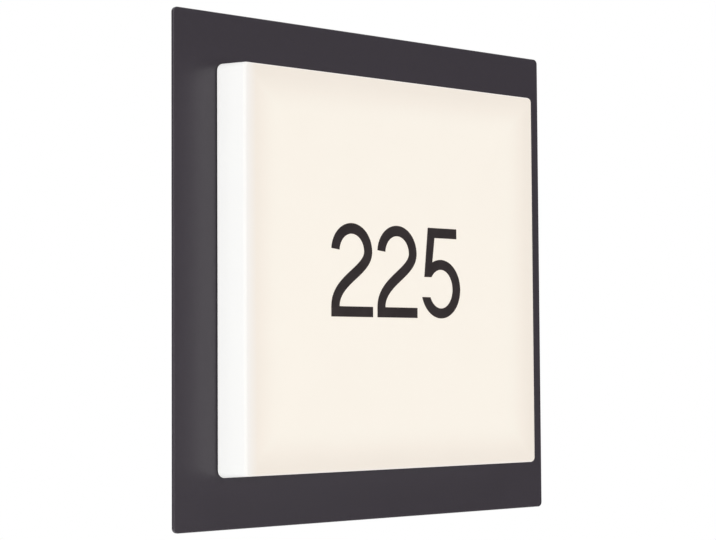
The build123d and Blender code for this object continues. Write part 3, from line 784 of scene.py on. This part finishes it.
def film_rings(edges, shift):
    """Ring t is (A back, A front, B front, B back), with the stroke's plane as X and Z."""
    edge_a, edge_b = edges
    back, front = np.full(len(edge_a), -BOX_FRONT), np.full(len(edge_a), -BOX_FRONT - FILM)
    corners = [(edge_a, back), (edge_a, front), (edge_b, front), (edge_b, back)]
    rings = [np.stack([e[:, 0] + shift, y, e[:, 1] + FIGURE_BASE], -1) for e, y in corners]
    return np.stack(rings, 1)


def adhesive_film():
    finish = Finish("adhesive_film", roughness=0.55, specular=0.3)
    clouds = finish.noise(8 * MM, detail=3)
    finish.colour(clouds, *shades((0.034, 0.026, 0.027), 0.12))
    finish.gloss(clouds, 0.5, 0.62)
    finish.bump(finish.noise(1.5 * MM), 0.004 * MM)
    return finish


film = adhesive_film()
figures = [figure_two(), figure_two(), figure_five()]
widths = [max(edge[:, 0].max() for edge in edges) for edges in figures]
shift = NUMBER_SHIFT - (sum(widths) + FIGURE_GAP * (len(figures) - 1)) / 2
for place, edges, width in zip(("left", "middle", "right"), figures, widths):
    piece(f"figure_{place}", [film_rings(edges, shift)], "light_box", film)
    shift += width + FIGURE_GAP
print("figures reach x", round((shift - FIGURE_GAP) / MM, 1), "mm")

# %% [markdown]
# ## Metal finishes
#
# Rolled strip and sheet keep fine lines along the way they were rolled, so their noise is drawn out along
# one axis. Zinc plating is bright with a mottled grain. Brass contacts are yellow and a little cloudy.


# %% Metals
def rolled_metal(name, colour, roughness, stretch):
    finish = Finish(name, roughness=roughness, metallic=1.0)
    lines = finish.noise(0.12 * MM, detail=3, stretch=stretch)
    stains = finish.noise(9 * MM, detail=3)
    finish.colour(stains, *shades(colour, 0.06))
    finish.gloss(lines, roughness * 0.8, roughness * 1.25)
    finish.bump(lines, 0.003 * MM)
    return finish


def plated_metal(name, colour, roughness):
    finish = Finish(name, roughness=roughness, metallic=1.0)
    grain = finish.noise(0.4 * MM, detail=4)
    finish.colour(grain, *shades(colour, 0.08))
    finish.gloss(grain, roughness * 0.75, roughness * 1.3)
    finish.bump(grain, 0.004 * MM)
    return finish


zinc = plated_metal("screw_steel", (0.62, 0.62, 0.63), 0.34)
earth_steel = plated_metal("earth_steel", (0.64, 0.64, 0.63), 0.38)
dress(rolled_metal("spring_steel", (0.55, 0.55, 0.56), 0.25, (1, 30, 1)), "spring_clips")
dress(rolled_metal("pillar_aluminium", (0.74, 0.74, 0.75), 0.35, (1, 1, 20)), "panel_pillars")
dress(rolled_metal("tray_aluminium", (0.77, 0.77, 0.78), 0.42, (40, 1, 1)), "panel_tray")
dress(plated_metal("contact_brass", (0.72, 0.58, 0.33), 0.36), "terminal_contacts")
dress(plated_metal("ring_tinned", (0.72, 0.72, 0.7), 0.3), "earth_ring_terminal")
dress(earth_steel, "earth_washer", "earth_nut")

# %% [markdown]
# ## Moulded plastics
#
# Housings come from moulds with a fine spark-eroded texture, which takes the shine off them. The same
# recipe with other colours and grain sizes gives the driver's case, the terminal block, the release
# buttons, the cable clamp and the frame round the light panel.


# %% Plastics
def moulded(name, colour, roughness=0.5, grain_size=0.3 * MM, depth=0.006 * MM):
    finish = Finish(name, roughness=roughness, specular=0.4)
    grain = finish.noise(grain_size, detail=2)
    flow = finish.noise(14 * MM, detail=2)
    finish.colour(flow, *shades(colour, 0.035))
    finish.gloss(grain, roughness * 0.88, roughness * 1.12)
    finish.bump(grain, depth)
    return finish


driver_plastic = moulded("driver_plastic", (0.80, 0.80, 0.79), roughness=0.55)
dress(driver_plastic, "driver_base", "driver_lid", "led_lead_clips")
dress(moulded("bezel_plastic", (0.84, 0.84, 0.82), roughness=0.5), "panel_bezel")
dress(moulded("terminal_plastic", (0.50, 0.51, 0.51), roughness=0.48), "terminal_block")
dress(moulded("clamp_plastic", (0.06, 0.06, 0.064), roughness=0.52), "cable_clamp")
button_finish = moulded("button_plastic", (0.80, 0.24, 0.03), roughness=0.34, depth=0.002 * MM)
dress(button_finish, "live_release_button", "neutral_release_button", "earth_release_button")
dress(moulded("component_black", (0.035, 0.035, 0.04), roughness=0.4), "driver_components")

# %% [markdown]
# ## Sheets of the light panel
#
# The panel is a sandwich: a white reflector, a clear guide with a print of small dots that lets the light
# out, and a frosted film that hides the dots. The LEDs stand along the bottom edge, so the film is
# slightly brighter there, and just above the frame each LED shows as a soft spot. A cosine with its
# crests on the LEDs gives the row of spots, and it fades out with the height above them.

# %% Panel sheets
PANEL_GLOW = (0.50, 0.46, 0.36)
PANEL_FALL = 0.06
GUIDE_FOOT = -98.0 * MM
EVEN_HEIGHT = 50.0 * MM
LED_PITCH = 10.4 * MM
SPOT_REACH = 16.0 * MM
SPOT_SHARE = 0.14


def reflector_white():
    finish = Finish("reflector_white", roughness=0.7, specular=0.3)
    clouds = finish.noise(20 * MM)
    finish.colour(clouds, (0.88, 0.88, 0.87), (0.92, 0.92, 0.91))
    finish.bump(finish.noise(0.4 * MM), 0.003 * MM)
    return finish


def guide_acrylic():
    finish = Finish("guide_acrylic", roughness=0.08)
    finish.shader.inputs["Transmission Weight"].default_value = 0.9
    finish.shader.inputs["IOR"].default_value = 1.49
    dots = finish.spread(finish.cells(1.8 * MM), 0.2, 0.28, 1, 0)
    finish.colour(dots, (0.93, 0.95, 0.95), (0.96, 0.96, 0.95))
    finish.gloss(dots, 0.05, 0.5)
    return finish


def frosted_film():
    finish = Finish("film_white", roughness=0.6, specular=0.3)
    frost = finish.noise(0.3 * MM)
    finish.colour(frost, (0.50, 0.50, 0.49), (0.54, 0.54, 0.53))
    finish.bump(frost, 0.003 * MM)
    x, _, z = finish.axes()
    near, far = shades(PANEL_GLOW, PANEL_FALL)[::-1]
    from_leds = finish.spread(z, GUIDE_FOOT, EVEN_HEIGHT, 0, 1, smooth=True)
    turns = finish.math("MULTIPLY", x, 2 * math.pi / LED_PITCH)
    crest = finish.spread(finish.math("COSINE", turns), 1, -1, 0, 1)
    row = finish.blend(crest, *shades(near, SPOT_SHARE))
    above = finish.spread(z, GUIDE_FOOT, GUIDE_FOOT + SPOT_REACH, 0, 1, smooth=True)
    finish.glow(finish.blend(above, row, finish.blend(from_leds, near, far)))
    return finish


dress(reflector_white(), "reflector_sheet")
dress(guide_acrylic(), "light_guide")
dress(frosted_film(), "diffusing_film")

# %% [markdown]
# ## Boards and LEDs
#
# The LED strip has white solder mask, so that it wastes no light, and the driver's board has green. Each
# LED is a white package with a patch of yellow phosphor on the side that faces the guide, here upwards.


# %% Boards
TRACK_LENGTH = 6.0 * MM
TRACK_GAP_SHARE = 0.06
PHOSPHOR_DEPTH = 0.15 * MM


def solder_mask(name, colour, track):
    finish = Finish(name, roughness=0.35)
    tracks = finish.nodes.new("ShaderNodeTexBrick")
    tracks.inputs["Scale"].default_value = 1 / TRACK_LENGTH
    tracks.inputs["Mortar Size"].default_value = TRACK_GAP_SHARE
    finish.links.new(finish.place, tracks.inputs["Vector"])
    finish.colour(tracks.outputs["Fac"], colour, track)
    finish.bump(tracks.outputs["Fac"], 0.02 * MM)
    return finish


def led_package():
    finish = Finish("led_package", roughness=0.3)
    top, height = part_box("leds")[1].z, finish.axes()[2]
    phosphor = finish.spread(height, top - PHOSPHOR_DEPTH, top - PHOSPHOR_DEPTH / 3, 0, 1)
    finish.colour(phosphor, (0.88, 0.88, 0.86), (0.93, 0.74, 0.12))
    finish.bump(finish.noise(0.3 * MM), 0.003 * MM)
    return finish


dress(solder_mask("led_board_white", (0.84, 0.85, 0.83), (0.88, 0.89, 0.87)), "led_board")
dress(solder_mask("circuit_green", (0.02, 0.16, 0.05), (0.05, 0.26, 0.10)), "driver_board")
dress(led_package(), "leds")

# %% [markdown]
# ## Screws
#
# A screw is a profile turned round its axis, apart from two details. The six-lobe recess in its head is a
# well whose radius rises and falls six times in a turn. The thread is a radius that rises and falls along
# the shank, and the start of each wave moves on with the angle, so that the crests climb as a helix.

# %% Screw surface
SCREW_COLUMNS = 48
THREAD_COLUMNS = 24
THREAD_PITCH = 0.6 * MM
THREAD_DEPTH = 0.18 * MM
HEAD_RADIUS = 2.8 * MM
HEAD_HEIGHT = 1.6 * MM
SHANK_RADIUS = 1.5 * MM
RECESS_RADIUS = 1.15 * MM
RECESS_LOBES = 6
RECESS_LOBE_SHARE = 0.14
RECESS_DEPTH = 1.0 * MM
RECESS_POINT_DEPTH = 1.15 * MM
RECESS_FOOT_SHARE = 0.93
RECESS_MOUTH_SHARE = 1.06
RECESS_CHAMFER = 0.08 * MM
DOME_START_RADIUS = 1.25 * RECESS_RADIUS
DOME_START_DEGREES = 8
DOME_STEPS = 8
HEAD_EDGE_HEIGHT = 0.62 * HEAD_HEIGHT
ONE_SCREW_REACH = 2.1 * HEAD_RADIUS
BROKEN_EDGE = 0.15 * MM
STEPS_PER_PITCH = 6


def around_axis(radius, height, x, z, seat):
    """Rings about an axis along Y at (x, z): radius and height above a seat, seen from the front."""
    angle = np.linspace(0, 2 * np.pi, radius.shape[1], endpoint=False)
    return np.stack([x + radius * np.cos(angle), -(seat + height), z + radius * np.sin(angle)], -1)


def screw_head(x, z, seat):
    """Rings from the floor of the recess up its lobed wall, over the domed head and in under it."""
    angle = np.linspace(0, 2 * np.pi, SCREW_COLUMNS, endpoint=False)
    lobes = RECESS_RADIUS * (1 + RECESS_LOBE_SHARE * np.cos(RECESS_LOBES * angle))
    even = np.ones(SCREW_COLUMNS)
    slope = np.radians(np.linspace(DOME_START_DEGREES, 90, DOME_STEPS))
    dome = zip(np.sin(slope), np.cos(slope))
    reach, rise = HEAD_RADIUS - DOME_START_RADIUS, HEAD_HEIGHT - HEAD_EDGE_HEIGHT
    rows = [
        (0 * even, HEAD_HEIGHT - RECESS_POINT_DEPTH),
        (RECESS_FOOT_SHARE * lobes, HEAD_HEIGHT - RECESS_DEPTH),
        (lobes, HEAD_HEIGHT - RECESS_CHAMFER),
        (RECESS_MOUTH_SHARE * lobes, HEAD_HEIGHT),
        *[((DOME_START_RADIUS + reach * s) * even, HEAD_EDGE_HEIGHT + rise * c) for s, c in dome],
        (HEAD_RADIUS * even, BROKEN_EDGE),
        ((HEAD_RADIUS - BROKEN_EDGE) * even, 0.0),
        (0 * even, 0.0),
    ]
    radius = np.stack([row[0] for row in rows])
    height = np.stack([row[1] * even for row in rows])
    return around_axis(radius, height, x, z, seat)


def thread(x, z, seat, length, outer=SHANK_RADIUS, pitch=THREAD_PITCH, depth=THREAD_DEPTH):
    """Radius = outer - depth * wave(height / pitch - angle / full turn), tapering over the last pitch."""
    rows = int(length / pitch * STEPS_PER_PITCH)
    angle = np.linspace(0, 2 * np.pi, THREAD_COLUMNS, endpoint=False)[None]
    height = np.linspace(0, length, rows)[:, None]
    wave = 0.5 - 0.5 * np.cos(2 * np.pi * (height / pitch) - angle)
    taper = np.clip((length - height) / pitch, 0, 1)
    radius = outer - depth * wave - (1 - taper) * depth
    return around_axis(radius, np.broadcast_to(height - length, radius.shape), x, z, seat)


def screw_places(node):
    """Axis, seat and length of each screw of a CAD node: points within a head's width are one screw."""
    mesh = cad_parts[node].data
    points = np.empty(3 * len(mesh.vertices))
    mesh.vertices.foreach_get("co", points)
    points, places = points.reshape(-1, 3), []
    while len(points):
        away = np.abs(points - points[0])[:, [0, 2]].max(axis=1)
        near = away < ONE_SCREW_REACH
        low, high = points[near].min(axis=0), points[near].max(axis=0)
        seat = -low[1] - HEAD_HEIGHT
        places.append(((low[0] + high[0]) / 2, (low[2] + high[2]) / 2, seat, seat + high[1]))
        points = points[~near]
    return places


for node in ("clip_screws", "panel_screws", "driver_screws", "terminal_screws", "clamp_screws"):
    stacks = []
    for x, z, seat, length in screw_places(node):
        stacks += [screw_head(x, z, seat), thread(x, z, seat, length)]
    piece(f"{node}_turned", stacks, "base", zinc, replaced=[node])

# %% [markdown]
# ## The earth stud
#
# The earth wire ends in a ring under a nut, on a stud that is pressed into the plate. The stud has a
# machine thread, coarser than those of the small screws, and a thin round flange at its foot.

# %% Earth stud
STUD_RADIUS = 2.0 * MM
STUD_PITCH = 0.7 * MM
STUD_FLANGE_RADIUS = 3.2 * MM
STUD_FLANGE_HEIGHT = 0.8 * MM
STUD_THREAD_DEPTH = 0.25 * MM
stud_low, stud_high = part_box("earth_stud")
stud_x, stud_z = (stud_low.x + stud_high.x) / 2, (stud_low.z + stud_high.z) / 2
stud_foot, stud_top = -stud_high.y, -stud_low.y


def flange(x, z, seat, radius, height):
    """A thin round disc with its edges broken, as four rings between two poles."""
    flat, even = radius - BROKEN_EDGE, np.ones(SCREW_COLUMNS)
    radii = np.array([0, flat, radius, radius, flat, 0])[:, None]
    heights = np.array([0, 0, BROKEN_EDGE, height - BROKEN_EDGE, height, height])[:, None]
    return around_axis(radii * even, heights * even, x, z, seat)


stud_size = (stud_top - stud_foot, STUD_RADIUS, STUD_PITCH, STUD_THREAD_DEPTH)
stud_thread = thread(stud_x, stud_z, stud_top, *stud_size)
stud_flange = flange(stud_x, stud_z, stud_foot, STUD_FLANGE_RADIUS, STUD_FLANGE_HEIGHT)
piece("earth_stud_threaded", [stud_thread, stud_flange], "base", earth_steel, replaced=["earth_stud"])

# %% [markdown]
# ## The cable grommet
#
# The grommet is one ring of soft rubber that snaps into the hole of the plate. Its section is a closed
# line: along the bore, round a fat lip in front of the plate, in to the neck, and round the other lip
# behind it. The lips are rounded, as rubber comes from its mould.

# %% Grommet
grommet_low, grommet_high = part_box("cable_grommet")
plate_low, plate_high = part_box("back_plate")
GROMMET_BORE = 4.5 * MM
GROMMET_NECK = 8.7 * MM
BORE_EDGE = 0.4 * MM
GROMMET_COLUMNS = 72
LIP_STEPS = 6


def lip(inner, outer, base, top):
    """Section of a lip: flat underside, rounded outer edge and flat top, as (radius, depth) points."""
    rounding = abs(top - base) / 2
    side = 1 if top > base else -1
    angle = np.linspace(-np.pi / 2, np.pi / 2, 2 * LIP_STEPS)
    centre_r, centre_d = outer - rounding, (base + top) / 2
    arc = [(centre_r + rounding * math.cos(a), centre_d + side * rounding * math.sin(a)) for a in angle]
    return [(inner, base)] + arc


def grommet_rings():
    """Closed section turned round its axis; the last ring repeats the first."""
    back, front = -grommet_high.y, -grommet_low.y
    outer = (grommet_high.x - grommet_low.x) / 2
    section = [
        (GROMMET_BORE, back + BORE_EDGE),
        (GROMMET_BORE, front - BORE_EDGE),
        (GROMMET_BORE + BORE_EDGE, front),
        *lip(GROMMET_NECK, outer, -plate_low.y, front)[::-1],
        *lip(GROMMET_NECK, outer, -plate_high.y, back),
        (GROMMET_BORE + BORE_EDGE, back),
        (GROMMET_BORE, back + BORE_EDGE),
    ]
    radius, depth = np.array(section).T[:, :, None] * np.ones(GROMMET_COLUMNS)
    x, z = (grommet_low.x + grommet_high.x) / 2, (grommet_low.z + grommet_high.z) / 2
    return around_axis(radius, depth, x, z, 0.0)


grommet_turned = [grommet_rings()]
piece("cable_grommet_moulded", grommet_turned, "base", grommet_rubber, ["cable_grommet"], ends=False)

# %% [markdown]
# ## Leads
#
# The leads inside the box are stiff enough to keep the bends that a fitter gives them. A lead is a line
# of straight runs with a rounded corner between each two, and a circle carried along that line. The mains
# leads follow the usual code: brown is live, blue is neutral, green with yellow stripes is earth. The
# stripes follow the surface, so the tube gets its own UV map, whose U runs once round it.

# %% Lead routes
LEAD_SIDES = 16
BEND_STEPS = 9
BEND_RADIUS = 5.0 * MM
TIGHT_BEND_RADIUS = 2.0 * MM
MAINS_LEAD_RADIUS = 1.0 * MM
LED_LEAD_RADIUS = 0.8 * MM
LEAD_TWIST_GUIDE = np.array([0.48, -0.62, 0.62])


def rounded_route(corners, radii):
    """Straight runs with an arc at each inner corner, tangent to both runs, as points from end to end."""
    corners = np.array(corners)
    line = [corners[:1]]
    for before, corner, after, radius in zip(corners[:-2], corners[1:-1], corners[2:], radii):
        came = (corner - before) / np.linalg.norm(corner - before)
        goes = (after - corner) / np.linalg.norm(after - corner)
        bend = math.acos(np.clip(came @ goes, -1, 1))
        start = corner - came * radius * math.tan(bend / 2)
        inwards = goes - came * (came @ goes)
        inwards /= np.linalg.norm(inwards)
        turn = np.linspace(0, bend, BEND_STEPS)[:, None]
        line.append(start + radius * (came * np.sin(turn) + inwards * (1 - np.cos(turn))))
    line.append(corners[-1:])
    return np.concatenate(line)


def tube_rings(line, radius):
    """Ring t is a circle of a radius about line point t, square to the line's way there."""
    way = ways(line)
    side = np.cross(way, LEAD_TWIST_GUIDE)
    side /= np.linalg.norm(side, axis=1, keepdims=True)
    upper = np.cross(side, way)
    angle = np.linspace(0, 2 * np.pi, LEAD_SIDES, endpoint=False)
    circle = side[:, None] * np.cos(angle)[:, None] + upper[:, None] * np.sin(angle)[:, None]
    return line[:, None] + radius * circle


def wrap_uv(mesh, rings):
    """U of a face corner is its column's share of the turn, unwrapped so that no face spans the seam."""
    uv = mesh.uv_layers.new(name="around")
    corner_vertex = np.zeros(len(mesh.loops), int)
    mesh.loops.foreach_get("vertex_index", corner_vertex)
    column = corner_vertex % LEAD_SIDES / LEAD_SIDES
    row = corner_vertex // LEAD_SIDES / rings
    start = np.zeros(len(mesh.polygons), int)
    mesh.polygons.foreach_get("loop_start", start)
    first = np.repeat(column[start], np.diff(np.append(start, len(corner_vertex))))
    column = np.where(first - column > 0.5, column + 1, column)
    column = np.where(column - first > 0.5, column - 1, column)
    uv.data.foreach_set("uv", np.stack([column, row], -1).ravel())


# %% [markdown]
# ## Insulation
#
# The insulation is smooth plastic with a slight shine and faint lines from the extruder. The earth lead's
# stripes are a step function of U.

# %% Insulation finishes
STRIPE_SHARE = 0.36


def insulation(name, colour):
    finish = Finish(name, roughness=0.36, specular=0.45)
    flow = finish.noise(3 * MM, detail=3)
    finish.colour(flow, *shades(colour, 0.08))
    finish.gloss(flow, 0.3, 0.42)
    finish.bump(finish.noise(0.3 * MM), 0.003 * MM)
    return finish


def striped_insulation(name, green, yellow):
    finish = insulation(name, green)
    uv = finish.nodes.new("ShaderNodeUVMap")
    uv.uv_map = "around"
    around = finish.axes(uv.outputs[0])[0]
    twice = finish.math("FRACT", finish.math("MULTIPLY", around, 2.0))
    stripe = finish.math("LESS_THAN", twice, STRIPE_SHARE)
    finish.colour(stripe, green, yellow)
    return finish


# %% [markdown]
# ## Laying the leads
#
# Every route starts and ends at a part that the model places, so its corners come from the boxes of those
# parts: up from a pole of the terminal block, across, and into the end of the driver. The two LED leads
# run side by side down the right of the box, under two saddles, and through a slot in the tray to the LED
# board.

# %% Routes from the parts
plate_front = -plate_low.y
terminal_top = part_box("terminal_block")[1].z
driver_low, driver_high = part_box("driver_lid")
driver_middle_z = (driver_low.z + driver_high.z) / 2
between_z = (terminal_top + driver_low.z) / 2
entry_depth = plate_front + 5.9 * MM
driver_hole_depth = plate_front + 7.7 * MM
barrel_depth = plate_front + 3.3 * MM
run_depth = plate_front + 1.1 * MM
entry_length = 4.0 * MM
driver_hole_shift = 4.5 * MM
driver_wall = 1.6 * MM
slot_above_board = 3.1 * MM


def middle(node):
    """Middle of a CAD node's box."""
    low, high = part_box(node)
    return (low + high) / 2


def point(x, z, depth):
    """A place given as the part's drawing does: across, up and in front of the wall."""
    return (x, -depth, z)


def pole_route(button, *rest):
    """Up out of the pole behind a button, to the height between the block and the driver, and on."""
    pole = middle(button).x
    start = point(pole, terminal_top - entry_length, entry_depth)
    return [start, point(pole, between_z, entry_depth), *rest]


def mains_route(button, driver_z):
    """On up from the pole, and right into the driver's hole at a height."""
    above = point(middle(button).x, driver_z, driver_hole_depth)
    return pole_route(button, above, point(driver_low.x + driver_wall, driver_z, driver_hole_depth))


def earth_route():
    """Across from the pole, and down into the barrel of the ring terminal on the stud."""
    barrel_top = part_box("earth_ring_terminal")[1].z
    above = point(stud_x, between_z, barrel_depth)
    return pole_route("earth_release_button", above, point(stud_x, barrel_top, barrel_depth))


def led_route(driver_z, sideways):
    """Out of the driver, down under the saddles, forwards through the slot and down to the board."""
    saddle = middle("led_lead_clips").x + sideways
    board_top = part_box("led_board")[1].z
    slot_z = board_top + slot_above_board
    led_depth = -middle("leds").y
    return [
        point(driver_high.x - driver_wall, driver_z, driver_hole_depth),
        point(saddle, driver_z, driver_hole_depth),
        point(saddle, driver_low.z, run_depth),
        point(saddle, slot_z, run_depth),
        point(saddle, slot_z, led_depth),
        point(saddle, board_top, led_depth),
    ]


# %% The five leads
LED_LEAD_GAP = 0.3 * MM
upper_z, lower_z = driver_middle_z + driver_hole_shift, driver_middle_z - driver_hole_shift
apart = LED_LEAD_RADIUS + LED_LEAD_GAP / 2
mains_bends = [BEND_RADIUS] * 2
led_bends = [BEND_RADIUS] * 3 + [TIGHT_BEND_RADIUS]
brown = insulation("lead_brown", (0.13, 0.05, 0.025))
blue = insulation("lead_blue", (0.02, 0.10, 0.40))
striped = striped_insulation("lead_green_yellow", (0.03, 0.26, 0.05), (0.80, 0.66, 0.03))
red = insulation("lead_red", (0.45, 0.02, 0.015))
black = insulation("lead_black", (0.02, 0.02, 0.022))
leads = [
    ("live_lead", mains_route("live_release_button", upper_z), mains_bends, MAINS_LEAD_RADIUS, brown),
    ("neutral_lead", mains_route("neutral_release_button", lower_z), mains_bends, MAINS_LEAD_RADIUS, blue),
    ("earth_lead", earth_route(), mains_bends, MAINS_LEAD_RADIUS, striped),
    ("led_lead_positive", led_route(upper_z, apart), led_bends, LED_LEAD_RADIUS, red),
    ("led_lead_negative", led_route(lower_z, -apart), led_bends, LED_LEAD_RADIUS, black),
]
for node, route, bends, radius, finish in leads:
    line = rounded_route(route, bends)
    made = piece(f"{node}_round", [tube_rings(line, radius)], "base", finish, replaced=[node])
    wrap_uv(made.data, len(line))
